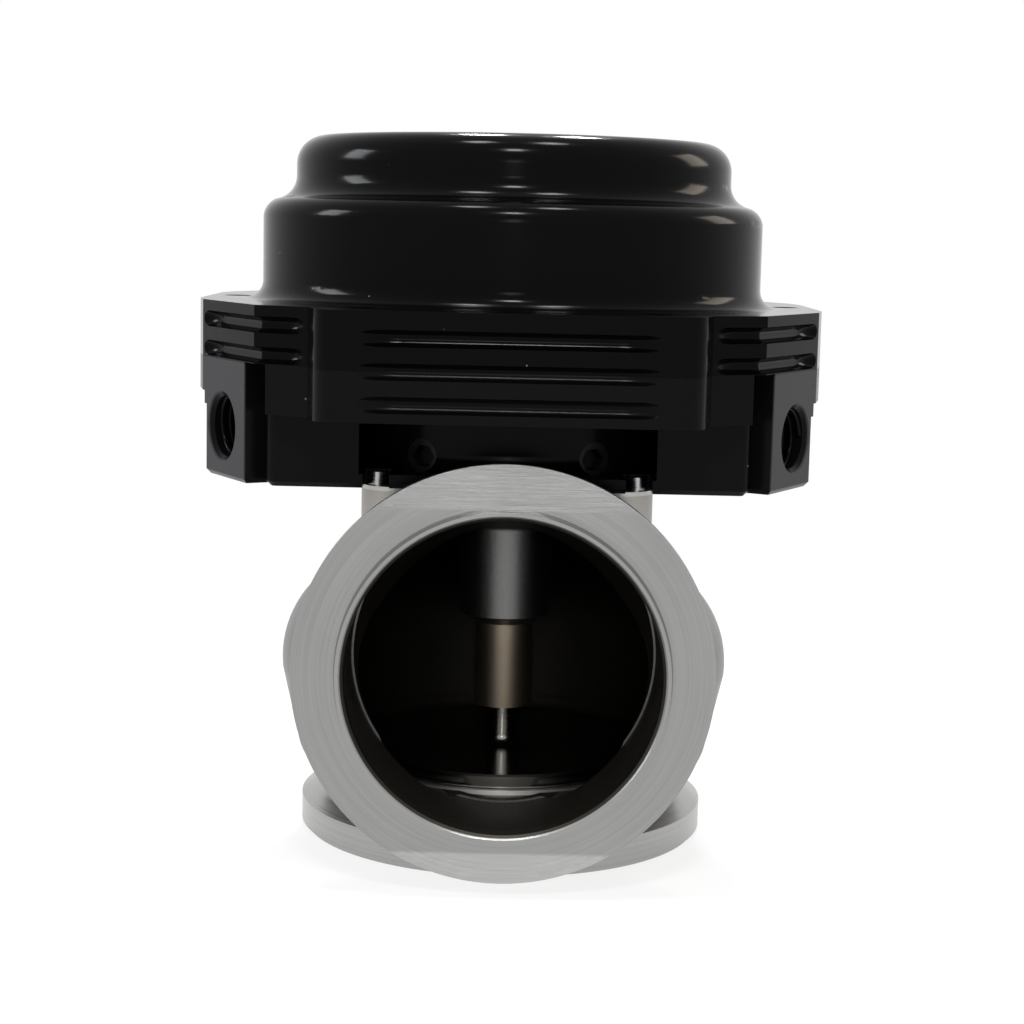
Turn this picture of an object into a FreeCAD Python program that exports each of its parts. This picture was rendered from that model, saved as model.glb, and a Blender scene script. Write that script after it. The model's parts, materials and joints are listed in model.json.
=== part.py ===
"""Water-cooled 44 mm V-band wastegate, as the separate pieces it is put together from.

Millimetres. The valve axis is Z and the exhaust comes in from below; the origin is the centre of the
inlet face. The outlet points along -Y. Every size that can be set by itself is a named value below,
and each piece is built by its own function from those values.
"""
import FreeCAD
import Part

import math
import os

from FreeCAD import Vector

# ---- driving dimensions ---------------------------------------------------------------------------

# Heights on the valve axis.
SEAT_FLANGE_T = 0.7          # flange of the seat ring, under the inlet flange
PLATE_TOP = 56.2             # top of the exhaust body's mounting plate
GASKET_T = 0.6
PORT_BLOCK_STEP = 69.0       # under this the rim of the lower housing is a little narrower at its sides
LOWER_FLANGE_BOTTOM = 67.1
SPLIT = 74.1                 # joint between lower housing and cover
COVER_FLANGE_T = 8.2
CAP_HEIGHT = 24.5            # cap above the cover's flange

# Inlet V-band flange.
INLET_FLANGE_R = 31.5
INLET_RIM_T = 4.0
INLET_CONE_DROP = 1.0
INLET_NECK_R = 26.6
INLET_BORE_R = 23.7

# Exhaust body.
BULB_R = 34.8
BULB_ARC_R = 16.0
BULB_MID_Z = 26.5
BULB_LOW_R = 32.2
BULB_LOW_Z = 13.8
BODY_WALL = 3.0
CHAMBER_ROOF = 48.5
COLLAR_R = 21.0
PLATE_HALF_INSET = 8.0       # the plate's sides, front and back, measured from the housing's hub
PLATE_FRONT_REACH = 2.0
PLATE_BACK_INSET = 4.0
PLATE_T = 5.0
PLATE_CORNER_R = 5.0

# Outlet V-band flange, measured from the valve axis towards the outlet.
OUTLET_Z = 31.6
OUTLET_BORE_R = 22.3
OUTLET_DUCT_R = 24.4
OUTLET_FLANGE_R = 29.75
OUTLET_FACE = 40.0
OUTLET_LIP = 2.0
OUTLET_BORE_START = 0.7      # clearance between the end of the bore and the seat's pocket
OUTLET_BORE_STEP = 0.3       # the passage is this much tighter where it opens into the chamber
OUTLET_LIP_R = 23.7
OUTLET_RIM_T = 2.0
OUTLET_CONE_T = 3.2
BEVEL_HEIGHT = 23.4          # the flat on the flange starts this far above the outlet axis
BEVEL_DEPTH = 0.9

# Valve, seat and guide.
VALVE_R = 22.0
VALVE_TOP = 12.8
VALVE_MARGIN = 2.0
SEAT_FACE = 1.5              # width and height of the 45 degree seat face
SEAT_GAP = 0.1
THROAT_R = 20.0
SEAT_SPIGOT_CLEARANCE = 0.1
SEAT_TOP_DROP = 0.1
STEM_R = 2.8
STEM_FILLET = 1.5
STEM_THREAD_R = 2.45
RUN_CLEARANCE = 0.05
GUIDE_R = 4.7
GUIDE_BOTTOM = 19.0
GUIDE_TOP_DROP = 1.5
BOSS_R = 7.15
BOSS_BOTTOM = 32.2
BOSS_CHAMFER = 1.45
BOSS_FILLET = 1.5

# Lower housing.
CHAMBER_FLOOR = 64.2
WELL_WALL = 3.0              # wall of the hub round the lower part of the chamber
WELL_TOP = 69.1
CHAMBER_INSET = 5.2          # wall of the chamber, inside the lower drum of the cap
FRONT_WALL_INSET = 11.6      # front wall behind the lobe's face
WALL_CORNER_INSET = 12.35    # end of the front wall, in from the widest point
SIDE_WALL_INSET = 6.35
WALL_CORNER_R = 1.5
HUB_R = 29.0
POCKET_HALF_X = 21.0
FOOT_T = 2.0
HUB_FILLET = 2.5
EDGE_CHAMFER = 0.7
GALLERY_IN_R = 13.0
GALLERY_OUT_R = 17.5
GALLERY_DEPTH = 5.2
BUSH_R = 5.0
BUSH_H = 4.3
RING_R = 0.9
RETAINER_H = 0.8
RETAINER_R = 5.0

# Ports: two for coolant at the front, two for air at the back.
PORT_BLOCK_INSET = 0.7       # the block ends this far short of the rim's corner
PORT_BLOCK_ANGLE = 9.8       # angle from the port to the corner beside the slot
PORT_AZIMUTH = 60.0
PORT_Z = 64.3
PORT_R = 4.4
PORT_CHAMFER = 0.75
PORT_DEPTH = 9.0
COOLANT_DRILL_R = 1.75
COOLANT_DRILL_DROP = 3.2
AIR_DRILL_R = 2.0
AIR_DRILL_RISE = 2.6
TOP_PORT_R = 4.3
TOP_PORT_BOSS_R = 6.6
TOP_PORT_STAND = 3.9         # boss of the upper air port beyond the cap

# Gallery plugs.
PLUG_AZIMUTH = 26.0
PLUG_R = 2.65
PLUG_LENGTH = 4.5
PLUG_RECESS = 1.2
PLUG_Z = 60.7
PLUG_SOCKET_AF = 3.0
PLUG_DRILL_R = 1.5

# Outline shared by the cover and the lower housing's flange.
LOBE_RISE = 6.4              # each rise is measured outwards from the lower drum of the cap
LOBE_HALF_X = 26.2
LOBE_CORNER_R = 3.5
NOTCH_RISE = 8.9
NOTCH_AZIMUTH = 36.2
FACET_RISE = 10.3
FACET_FAR_ANGLE = 8.63       # angle from the port to the facet's corner towards the side
FACET_NEAR_ANGLE = 13.7      # and to its corner towards the lobe
SIDE_RISE = 8.15
SIDE_Y = 12.0
RELIEF_DEPTH = 3.5           # slot between the port block and the front of the lower housing
RIM_CORNER_R = 1.0
SIDE_CORNER_R = 2.0

# Grooves milled in the rims.
GROOVE_R = 1.15
GROOVE_DEPTH = 1.4
GROOVE_HALF_X = 20.9
CUTTER_R = 14.0
GROOVE_PITCH = 4.5
FACET_CUTTER_R = 5.0
FACET_GROOVE_END = 0.6       # a facet's groove stops this far from its outer end
FACET_GROOVE_RISE = 1.25     # lower groove of a facet above the joint
FACET_GROOVE_PITCH = 4.25

# Cap, the domed part of the cover.
CAP_LOW_R = 38.2
CAP_STEP = 5.0               # the upper drum is this much narrower
CAP_WALL = 3.0
CAP_BASE_FILLET = 2.6
CAP_SHOULDER = 0.494         # height of the shoulder, as a share of the cap's height
CAP_SHOULDER_R = 3.0
CAP_WAIST_R = 3.5
CAP_TOP_FILLET = 4.2
CAP_ROOF = 3.2

# Diaphragm and piston.
DIAPHRAGM_T = 1.0
DIAPHRAGM_RIM = 3.4          # width of the rim that the cover clamps
SEAL_CLEARANCE = 0.2
LOWER_PLATE_Z = 67.5
LOWER_PLATE_T = 2.0
LOWER_PLATE_R = 25.2
CUP_R = 28.6
CUP_T = 2.0
CUP_WALL = 1.8
CUP_H = 9.0
CUP_RIB_R = 11.6
CUP_RIB_H = 2.0
LOOP_TOP = 81.3
WASHER_R = 5.0
WASHER_T = 1.0
NUT_AF = 8.0
NUT_H = 4.0
STEM_END = 79.0

# Springs.
OUTER_SPRING_R = 23.6
OUTER_WIRE_R = 2.0
OUTER_TURNS = 5.0
INNER_SPRING_R = 14.2
INNER_WIRE_R = 1.5
INNER_TURNS = 6.0
GROUND = 0.4                 # how much of the wire's height is ground off each end, as a share of its radius

# Fasteners.
COVER_SCREW_RISE = 4.1       # pitch circle beyond the lower drum of the cap
COVER_SCREW_AZIMUTHS = (29.0, 90.0, 151.0, 209.0, 270.0, 331.0)
M4 = {"shank_r": 2.0, "head_r": 3.5, "head_h": 4.0, "socket_af": 3.0, "socket_depth": 2.0}
M5 = {"shank_r": 2.5, "head_r": 4.25, "head_h": 5.0, "socket_af": 4.0, "socket_depth": 2.5}
HOLE_CLEARANCE = 0.25
THREAD_CLEARANCE = 0.05
COVER_SCREW_SEAT = 3.0       # flange left above the head of a cover screw
COVER_SCREW_SHY = 0.8        # the screw stops this far below the top of the flange
BODY_SCREW_INSET = 5.8       # pitch circle inside the hub
BODY_SCREW_AZIMUTHS = (43.5, 136.5, 223.5, 316.5)
BODY_SCREW_LUG = 2.4
BODY_SCREW_BITE = 5.2
DOWEL_R = 1.5
DOWEL_X = 18.6
DOWEL_Y = 27.6
DOWEL_BITE = 4.0
DOWEL_HEIGHT = 1.9
DOWEL_SLOT_H = 2.2
DOWEL_SLOT_HALF = 1.9

# ---- worked out from the dimensions above ---------------------------------------------------------

HOUSING_BOTTOM = PLATE_TOP + GASKET_T
COVER_TOP = SPLIT + COVER_FLANGE_T
CAP_TOP = COVER_TOP + CAP_HEIGHT
CAP_SHOULDER_Z = COVER_TOP + CAP_SHOULDER * CAP_HEIGHT
LOBE_FACE = CAP_LOW_R + LOBE_RISE
SIDE_X = CAP_LOW_R + SIDE_RISE
FACET_R = CAP_LOW_R + FACET_RISE
PORT_FACE = FACET_R * math.cos(math.radians(FACET_FAR_ANGLE))
CAP_HIGH_R = CAP_LOW_R - CAP_STEP
CHAMBER_R = CAP_LOW_R - CHAMBER_INSET
WELL_R = HUB_R - WELL_WALL
FRONT_WALL = LOBE_FACE - FRONT_WALL_INSET
WALL_HALF_X = SIDE_X - WALL_CORNER_INSET
SIDE_WALL = SIDE_X - SIDE_WALL_INSET
PLATE_HALF_X = HUB_R - PLATE_HALF_INSET
PLATE_FRONT = HUB_R + PLATE_FRONT_REACH
PLATE_BACK = HUB_R - PLATE_BACK_INSET
PORT_AZIMUTHS = (PORT_AZIMUTH, 180 - PORT_AZIMUTH, 180 + PORT_AZIMUTH, 360 - PORT_AZIMUTH)
TOP_PORT_FACE = CAP_LOW_R + TOP_PORT_STAND
PITCH_R = CAP_LOW_R + COVER_SCREW_RISE
BODY_SCREW_R = HUB_R - BODY_SCREW_INSET
DIAPHRAGM_R = CAP_LOW_R - CAP_WALL + DIAPHRAGM_RIM
VALVE_FACE_TOP = VALVE_TOP - VALVE_MARGIN
SEAT_TOP = VALVE_FACE_TOP - SEAT_TOP_DROP
CUP_Z = LOWER_PLATE_Z + LOWER_PLATE_T + DIAPHRAGM_T
SPRING_BOTTOM = CUP_Z + CUP_T
ROOF = CAP_TOP - CAP_ROOF
GUIDE_TOP = PLATE_TOP - GUIDE_TOP_DROP


# ---- geometry helpers -----------------------------------------------------------------------------

def polar(azimuth, radius, z=0.0):
    """Point at an azimuth in degrees, counted from the outlet side (-Y) towards +X."""
    a = math.radians(azimuth)
    return Vector(radius * math.sin(a), -radius * math.cos(a), z)


def profile_face(start, *steps):
    """Closed face in the XZ plane; a step is (r, z), or a middle and an end point for an arc."""
    here = Vector(start[0], 0, start[1])
    first = here
    edges = []
    for step in steps:
        if isinstance(step[0], tuple):
            middle = Vector(step[0][0], 0, step[0][1])
            end = Vector(step[1][0], 0, step[1][1])
            edges.append(Part.Arc(here, middle, end).toShape())
        else:
            end = Vector(step[0], 0, step[1])
            edges.append(Part.LineSegment(here, end).toShape())
        here = end
    if here.distanceToPoint(first) > 1e-6:
        edges.append(Part.LineSegment(here, first).toShape())
    return Part.Face(Part.Wire(edges))


def turned(start, *steps):
    """Solid of revolution about the valve axis."""
    return profile_face(start, *steps).revolve(Vector(), Vector(0, 0, 1), 360)


def arc_middle(centre, radius, degrees):
    """Point on a profile arc, for use as its middle or end."""
    a = math.radians(degrees)
    return (centre[0] + radius * math.cos(a), centre[1] + radius * math.sin(a))


def upright(radius, z0, z1, x=0.0, y=0.0):
    """Vertical cylinder between two heights."""
    return Part.makeCylinder(radius, z1 - z0, Vector(x, y, z0))


def radial_hole(azimuth, z, radius, inner, outer):
    """Cylinder along a horizontal radius, from one distance off the valve axis to another."""
    base = polar(azimuth, inner, z)
    return Part.makeCylinder(radius, outer - inner, base, polar(azimuth, 1.0))


def rounded_wire(corners, z):
    """Closed outline through (x, y, radius) corners, with each corner rounded by its own radius."""
    count = len(corners)
    points = [Vector(x, y, z) for x, y, _ in corners]
    edges, joints = [], []
    for i, (_, _, radius) in enumerate(corners):
        before = (points[i - 1] - points[i]).normalize()
        after = (points[(i + 1) % count] - points[i]).normalize()
        half = math.acos(max(-1.0, min(1.0, before.dot(after)))) / 2
        reach = radius / math.tan(half)
        middle = (before + after).normalize() * (radius / math.sin(half) - radius)
        joints.append((points[i] + before * reach, points[i] + middle, points[i] + after * reach))
    for i, (start, middle, end) in enumerate(joints):
        if start.distanceToPoint(end) > 1e-6:
            edges.append(Part.Arc(start, middle, end).toShape())
        following = joints[(i + 1) % count][0]
        if end.distanceToPoint(following) > 1e-6:
            edges.append(Part.LineSegment(end, following).toShape())
    return Part.Wire(edges)


def prism(corners, z0, z1):
    """Upright block with a rounded outline."""
    return Part.Face(rounded_wire(corners, z0)).extrude(Vector(0, 0, z1 - z0))


def four_fold(quarter):
    """Whole outline from its front right quarter, which runs from the front towards the side."""
    right = quarter + [(x, -y, r) for x, y, r in reversed(quarter)]
    return right + [(-x, y, r) for x, y, r in reversed(right)]


def hexagon(across_flats, z0, z1):
    """Upright hexagonal prism on the valve axis."""
    corner = across_flats / math.sqrt(3)
    points = [polar(60 * i, corner, z0) for i in range(7)]
    return Part.Face(Part.makePolygon(points)).extrude(Vector(0, 0, z1 - z0))


def place(shape, azimuth, radius, z=0.0):
    """Copy of a shape moved out from the valve axis and turned to face along that radius."""
    moved = shape.copy()
    turn = FreeCAD.Rotation(Vector(0, 0, 1), azimuth)
    moved.Placement = FreeCAD.Placement(polar(azimuth, radius, z), turn)
    return moved


def along_radius(shape, azimuth, inner, z):
    """Copy of a shape built up the Z axis, laid along a horizontal radius from a distance outwards."""
    laid = shape.copy()
    turn = FreeCAD.Rotation(Vector(0, 0, 1), polar(azimuth, 1.0))
    laid.Placement = FreeCAD.Placement(polar(azimuth, inner, z), turn)
    return laid


def cut_all(shape, tools):
    """Shape with every tool taken away."""
    return shape.cut(tools[0].multiFuse(tools[1:])) if len(tools) > 1 else shape.cut(tools[0])


def chamfer_rims(shape, z, size):
    """Chamfer the outer edges that lie at one height."""
    edges = [e for e in shape.Edges
             if abs(e.BoundBox.ZMin - z) < 1e-4 and abs(e.BoundBox.ZMax - z) < 1e-4]
    return shape.makeChamfer(size, edges)


# ---- outlines -------------------------------------------------------------------------------------

def on_port_plane(angle):
    """Point of a port facet's plane, an angle from the port towards the lobe (or the side, if negative)."""
    return polar(PORT_AZIMUTH - angle, PORT_FACE / math.cos(math.radians(angle)))


def rim_corners():
    """Corners of the rim between lobe and side: notch, near and far corner of the port facet."""
    return (polar(NOTCH_AZIMUTH, CAP_LOW_R + NOTCH_RISE), on_port_plane(FACET_NEAR_ANGLE),
            on_port_plane(-FACET_FAR_ANGLE))


def cover_outline():
    """Rim of the cover: a wide lobe front and back, and two facets towards each side."""
    notch, near, far = rim_corners()
    return four_fold([
        (LOBE_HALF_X, -LOBE_FACE, LOBE_CORNER_R),
        (notch.x, notch.y, 0.0),
        (near.x, near.y, 0.0),
        (far.x, far.y, 1.0),
        (SIDE_X, -SIDE_Y, 2.0),
    ])


def block_corners():
    """Corners of a port block: bottom of the slot beside it, near corner and far corner."""
    near = on_port_plane(PORT_BLOCK_ANGLE)
    far = on_port_plane(-FACET_FAR_ANGLE)
    return (near - polar(PORT_AZIMUTH, RELIEF_DEPTH), near,
            far + (near - far).normalize() * PORT_BLOCK_INSET)


def lower_flange_outline(inset):
    """Rim of the lower housing, which follows the cover but for the slots beside the port blocks."""
    notch, corner, far = rim_corners()
    slope = (corner.y - notch.y) / (corner.x - notch.x)
    relief, near, low_far = block_corners()
    side = low_far if inset else far
    return four_fold([
        (LOBE_HALF_X, -LOBE_FACE, LOBE_CORNER_R),
        (notch.x, notch.y, 0.0),
        (WALL_HALF_X, notch.y + slope * (WALL_HALF_X - notch.x), 0.0),
        (relief.x, relief.y, 0.0),
        (near.x, near.y, 0.0),
        (side.x, side.y, RIM_CORNER_R),
        (SIDE_X - inset, -SIDE_Y, SIDE_CORNER_R),
    ])


def lower_block_outline():
    """Lower housing under its flange: straight walls between the four port blocks."""
    relief, near, far = block_corners()
    root = far - polar(PORT_AZIMUTH, (far.x - SIDE_WALL) / math.sin(math.radians(PORT_AZIMUTH)))
    return four_fold([
        (WALL_HALF_X, -FRONT_WALL, WALL_CORNER_R),
        (relief.x, relief.y, 0.0),
        (near.x, near.y, 0.0),
        (far.x, far.y, RIM_CORNER_R),
        (root.x, root.y, 0.0),
    ])


# ---- exhaust side ---------------------------------------------------------------------------------

def bulb_profile(wall):
    """Turned profile of the bulb, set in by a wall; wall 0 is the outside."""
    centre = (BULB_R - BULB_ARC_R, BULB_MID_Z)
    arc = BULB_ARC_R - wall
    low = (BULB_LOW_R - wall, BULB_LOW_Z)
    return centre, arc, low


def body_outside():
    """Outside of inlet flange, neck and bulb up to the mounting plate."""
    centre, arc, low = bulb_profile(0.0)
    rim_top = SEAT_FLANGE_T + INLET_RIM_T
    cone_top = rim_top + INLET_CONE_DROP
    neck_z = cone_top + 1.6
    shoulder = arc_middle(centre, arc, 48)
    collar_low = PLATE_TOP - PLATE_T - 2.5
    return turned(
        (0, SEAT_FLANGE_T), (INLET_FLANGE_R, SEAT_FLANGE_T), (INLET_FLANGE_R, rim_top),
        (INLET_NECK_R + 1.6, cone_top), ((INLET_NECK_R + 0.47, cone_top + 0.47), (INLET_NECK_R, neck_z)),
        (INLET_NECK_R, neck_z + 1.2), ((low[0] - 1.1, low[1] - 2.6), low),
        arc_middle(centre, arc, -5), (arc_middle(centre, arc, 20), shoulder),
        (COLLAR_R, collar_low), (COLLAR_R, PLATE_TOP - 0.5 * PLATE_T), (0, PLATE_TOP - 0.5 * PLATE_T))


def chamber():
    """Gas space of the bulb, from the seat ring up to the roof."""
    centre, arc, low = bulb_profile(BODY_WALL)
    shoulder = arc_middle(centre, arc, 55)
    return turned(
        (0, SEAT_TOP - 1), (INLET_BORE_R, SEAT_TOP - 1), (INLET_BORE_R + 0.6, SEAT_TOP),
        ((low[0] - 1.0, low[1] - 2.6), low),
        arc_middle(centre, arc, -5), (arc_middle(centre, arc, 20), shoulder),
        (BOSS_R + 4, CHAMBER_ROOF), (0, CHAMBER_ROOF))


def outlet_turned(*profile):
    """Solid turned about the outlet axis; the profile is (radius, distance from the valve axis)."""
    solid = turned(*profile)
    turn = FreeCAD.Rotation(Vector(0, 0, 1), Vector(0, -1, 0))
    solid.Placement = FreeCAD.Placement(Vector(0, 0, OUTLET_Z), turn)
    return solid


def outlet_outside():
    """Outlet duct with its V-band flange and the pilot lip that enters the mating pipe."""
    rim_back = OUTLET_FACE - OUTLET_RIM_T
    cone_back = rim_back - OUTLET_CONE_T
    lip_front = OUTLET_FACE + OUTLET_LIP
    return outlet_turned(
        (0, 0), (OUTLET_DUCT_R, 0), (OUTLET_DUCT_R, cone_back - 1.2),
        (OUTLET_DUCT_R + 1.0, cone_back), (OUTLET_FLANGE_R, rim_back), (OUTLET_FLANGE_R, OUTLET_FACE),
        (OUTLET_LIP_R, OUTLET_FACE), (OUTLET_LIP_R - 0.3, lip_front), (0, lip_front))


def outlet_bevel():
    """Wedge taken off the top of the outlet flange's face."""
    z = OUTLET_Z + BEVEL_HEIGHT
    rise = OUTLET_FLANGE_R - BEVEL_HEIGHT
    reach = OUTLET_FACE + OUTLET_LIP + 1
    slope = BEVEL_DEPTH / rise
    points = [Vector(0, -OUTLET_FACE, z), Vector(0, -OUTLET_FACE + slope * (rise + 2), z + rise + 2),
              Vector(0, -reach, z + rise + 2), Vector(0, -reach, z)]
    face = Part.Face(Part.makePolygon(points + points[:1]))
    face.translate(Vector(-OUTLET_FLANGE_R, 0, 0))
    return face.extrude(Vector(2 * OUTLET_FLANGE_R, 0, 0))


def mounting_plate(z0, z1):
    """Plate outline shared by the exhaust body and the gasket."""
    r = PLATE_CORNER_R
    return prism([
        (PLATE_HALF_X, -PLATE_FRONT, r), (PLATE_HALF_X, PLATE_BACK, r),
        (-PLATE_HALF_X, PLATE_BACK, r), (-PLATE_HALF_X, -PLATE_FRONT, r)], z0, z1)


def body_screw_places():
    """Centres of the four screws that hold the lower housing to the exhaust body."""
    return [polar(azimuth, BODY_SCREW_R) for azimuth in BODY_SCREW_AZIMUTHS]


def plate_holes(z0, z1, screw_r, dowel_r, dowel_z0):
    """Screw and dowel holes through a stretch of height."""
    screws = [upright(screw_r, z0, z1, p.x, p.y) for p in body_screw_places()]
    dowels = [upright(dowel_r, dowel_z0, z1, side * DOWEL_X, -DOWEL_Y) for side in (-1, 1)]
    return screws + dowels


def guide_boss():
    """Boss that hangs from the chamber roof round the valve guide."""
    return turned(
        (0, BOSS_BOTTOM), (GUIDE_R + 0.05, BOSS_BOTTOM), (BOSS_R, BOSS_BOTTOM + BOSS_CHAMFER),
        (BOSS_R, CHAMBER_ROOF - BOSS_FILLET),
        (arc_middle((BOSS_R + BOSS_FILLET, CHAMBER_ROOF - BOSS_FILLET), BOSS_FILLET, 135),
         (BOSS_R + BOSS_FILLET, CHAMBER_ROOF)), (BOSS_R + BOSS_FILLET, CHAMBER_ROOF + 1), (0, CHAMBER_ROOF + 1))


def valve_body():
    """Cast stainless exhaust body with both V-band flanges and the mounting plate."""
    outside = body_outside().multiFuse([outlet_outside(), mounting_plate(PLATE_TOP - PLATE_T, PLATE_TOP)])
    start = INLET_BORE_R + OUTLET_BORE_START
    inner = OUTLET_BORE_R - OUTLET_BORE_STEP
    bore = outlet_turned(
        (0, BOSS_R), (CHAMBER_ROOF - OUTLET_Z, BOSS_R + 2 * BOSS_FILLET), (inner, start),
        (OUTLET_BORE_R, start), (OUTLET_BORE_R, OUTLET_FACE + OUTLET_LIP - 0.6),
        (OUTLET_BORE_R + 0.6, OUTLET_FACE + OUTLET_LIP), (0, OUTLET_FACE + OUTLET_LIP))
    hollow = chamber().multiFuse([bore, upright(INLET_BORE_R, 0, SEAT_TOP)])
    body = outside.cut(hollow).fuse(guide_boss())
    above = Part.makeBox(200, 200, 20, Vector(-100, -FRONT_WALL - 1, PLATE_TOP))
    tools = [outlet_bevel(), above, upright(GUIDE_R, 0, GUIDE_TOP),
             upright(GUIDE_R + 1, GUIDE_TOP, PLATE_TOP + 1)]
    tools += plate_holes(PLATE_TOP - BODY_SCREW_BITE - 0.4, PLATE_TOP + 1, M5["shank_r"] + THREAD_CLEARANCE,
                         DOWEL_R, PLATE_TOP - DOWEL_BITE)
    return cut_all(body, tools).removeSplitter()


def valve_seat():
    """Removable seat ring, held by the inlet clamp, with its 45 degree seat."""
    spigot = INLET_BORE_R - SEAT_SPIGOT_CLEARANCE
    contact = VALVE_R - SEAT_FACE
    low = VALVE_FACE_TOP - SEAT_FACE - SEAT_GAP * math.sqrt(2)
    top = SEAT_TOP
    return turned(
        (THROAT_R + 2.2, 0), (INLET_FLANGE_R - 0.7, 0), (INLET_FLANGE_R - 0.7, SEAT_FLANGE_T),
        (spigot, SEAT_FLANGE_T), (spigot, top - 0.5), (spigot - 0.5, top), (contact + top - low, top),
        (contact, low), (THROAT_R, low - 1.2), (THROAT_R, 4.5))


def valve():
    """Poppet valve: head with a 45 degree face, and a stem threaded at its top."""
    face_low = VALVE_FACE_TOP - SEAT_FACE
    root = STEM_R + STEM_FILLET
    bend = arc_middle((root, VALVE_TOP + STEM_FILLET), STEM_FILLET, 225)
    return turned(
        (0, face_low + 0.4), (VALVE_R - SEAT_FACE - 5, face_low + 0.4), (VALVE_R - SEAT_FACE - 1, face_low),
        (VALVE_R - SEAT_FACE, face_low), (VALVE_R, VALVE_FACE_TOP), (VALVE_R, VALVE_TOP - 0.3),
        (VALVE_R - 0.3, VALVE_TOP), (root, VALVE_TOP), (bend, (STEM_R, VALVE_TOP + STEM_FILLET)),
        (STEM_R, LOWER_PLATE_Z), (STEM_THREAD_R, LOWER_PLATE_Z), (STEM_THREAD_R, STEM_END - 0.6),
        (STEM_THREAD_R - 0.6, STEM_END), (0, STEM_END))


def valve_guide():
    """Guide pressed into the boss; its mouth is flared to clear the fillet under the stem."""
    inner = STEM_R + RUN_CLEARANCE
    flare = STEM_FILLET - 0.2
    return turned(
        (inner + flare, GUIDE_BOTTOM), (GUIDE_R, GUIDE_BOTTOM), (GUIDE_R, GUIDE_TOP),
        (inner, GUIDE_TOP), (inner, GUIDE_BOTTOM + flare))


def housing_gasket():
    """Sheet gasket that also closes the coolant gallery."""
    z0, z1 = PLATE_TOP, HOUSING_BOTTOM
    sheet = mounting_plate(z0, z1)
    tools = [upright(GUIDE_R + 1, z0 - 1, z1 + 1)]
    tools += plate_holes(z0 - 1, z1 + 1, M5["shank_r"] + HOLE_CLEARANCE, DOWEL_R + 0.1, z0 - 1)
    return cut_all(sheet, tools)


# ---- lower housing --------------------------------------------------------------------------------

def groove_cutter(radius):
    """Slot cutter with a rounded rim, centred on its own axis at height zero."""
    core = radius - GROOVE_R
    return turned((0, -GROOVE_R), (core, -GROOVE_R), ((radius, 0), (core, GROOVE_R)), (0, GROOVE_R))


def groove_reach(radius):
    """How far a cutter at full depth cuts to each side of its own centre."""
    return math.sqrt(radius ** 2 - (radius - GROOVE_DEPTH) ** 2)


def groove_bar(straight, radius):
    """Straight run of a groove between the two places where the cutter turns."""
    outer = GROOVE_DEPTH - radius
    inner = GROOVE_DEPTH - GROOVE_R
    points = [Vector(-straight, outer, -GROOVE_R), Vector(-straight, inner, -GROOVE_R),
              Vector(-straight, inner, GROOVE_R), Vector(-straight, outer, GROOVE_R)]
    nose = Part.Arc(points[1], Vector(-straight, GROOVE_DEPTH, 0), points[2]).toShape()
    wire = Part.Wire([Part.LineSegment(points[0], points[1]).toShape(), nose,
                      Part.LineSegment(points[2], points[3]).toShape(),
                      Part.LineSegment(points[3], points[0]).toShape()])
    return Part.Face(wire).extrude(Vector(2 * straight, 0, 0))


def milled_groove(start, end, z, radius):
    """Groove along a facet of the rim as the cutter leaves it; start is on the left, seen from outside."""
    along = end - start
    straight = along.Length / 2 - groove_reach(radius)
    discs = [groove_cutter(radius), groove_cutter(radius)]
    for disc, x in zip(discs, (-straight, straight)):
        disc.translate(Vector(x, GROOVE_DEPTH - radius, 0))
    tool = groove_bar(straight, radius).multiFuse(discs)
    middle = (start + end) * 0.5
    turn = FreeCAD.Rotation(Vector(0, 0, 1), math.degrees(math.atan2(along.y, along.x)))
    tool.Placement = FreeCAD.Placement(Vector(middle.x, middle.y, z), turn)
    return tool


def lobe_grooves(heights):
    """Grooves along the faces of both lobes."""
    left, right = Vector(-GROOVE_HALF_X, -LOBE_FACE, 0), Vector(GROOVE_HALF_X, -LOBE_FACE, 0)
    tools = []
    for z in heights:
        tools.append(milled_groove(left, right, z, CUTTER_R))
        tools.append(milled_groove(-left, -right, z, CUTTER_R))
    return tools


def facet_grooves(z):
    """The grooves of all eight facets at one height; the two of a corner run into each other."""
    notch, near, far = rim_corners()
    reach = groove_reach(FACET_CUTTER_R)
    inner, outer = (near - notch).normalize(), (far - near).normalize()
    runs = [(notch + inner * FACET_GROOVE_END, near + inner * reach),
            (near - outer * reach, far - outer * FACET_GROOVE_END)]
    tools = []
    for first, last in runs:
        for sx, sy in ((1, 1), (-1, 1), (1, -1), (-1, -1)):
            ends = [Vector(sx * p.x, sy * p.y, 0) for p in (first, last)]
            tools.append(milled_groove(*(ends if sx == sy else reversed(ends)), z, FACET_CUTTER_R))
    return tools


def port_tools(azimuth):
    """Threaded port, chamfered at its mouth."""
    bottom = PORT_FACE - PORT_DEPTH
    mouth = Part.makeCone(PORT_R, PORT_R + PORT_CHAMFER, PORT_CHAMFER)
    return [radial_hole(azimuth, PORT_Z, PORT_R, bottom, PORT_FACE + 2),
            along_radius(mouth, azimuth, PORT_FACE - PORT_CHAMFER, PORT_Z)]


def port_drillings():
    """Passages from the front ports to the coolant gallery and from the back ports to the chamber."""
    bottom = PORT_FACE - PORT_DEPTH
    tools = []
    for azimuth in (PORT_AZIMUTH, -PORT_AZIMUTH):
        tools.append(radial_hole(azimuth, PORT_Z - COOLANT_DRILL_DROP, COOLANT_DRILL_R,
                                 GALLERY_OUT_R - 2, bottom + 1))
    for azimuth in (180 - PORT_AZIMUTH, 180 + PORT_AZIMUTH):
        tools.append(radial_hole(azimuth, PORT_Z + AIR_DRILL_RISE, AIR_DRILL_R, WELL_R - 2, bottom + 1))
    return tools


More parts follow.
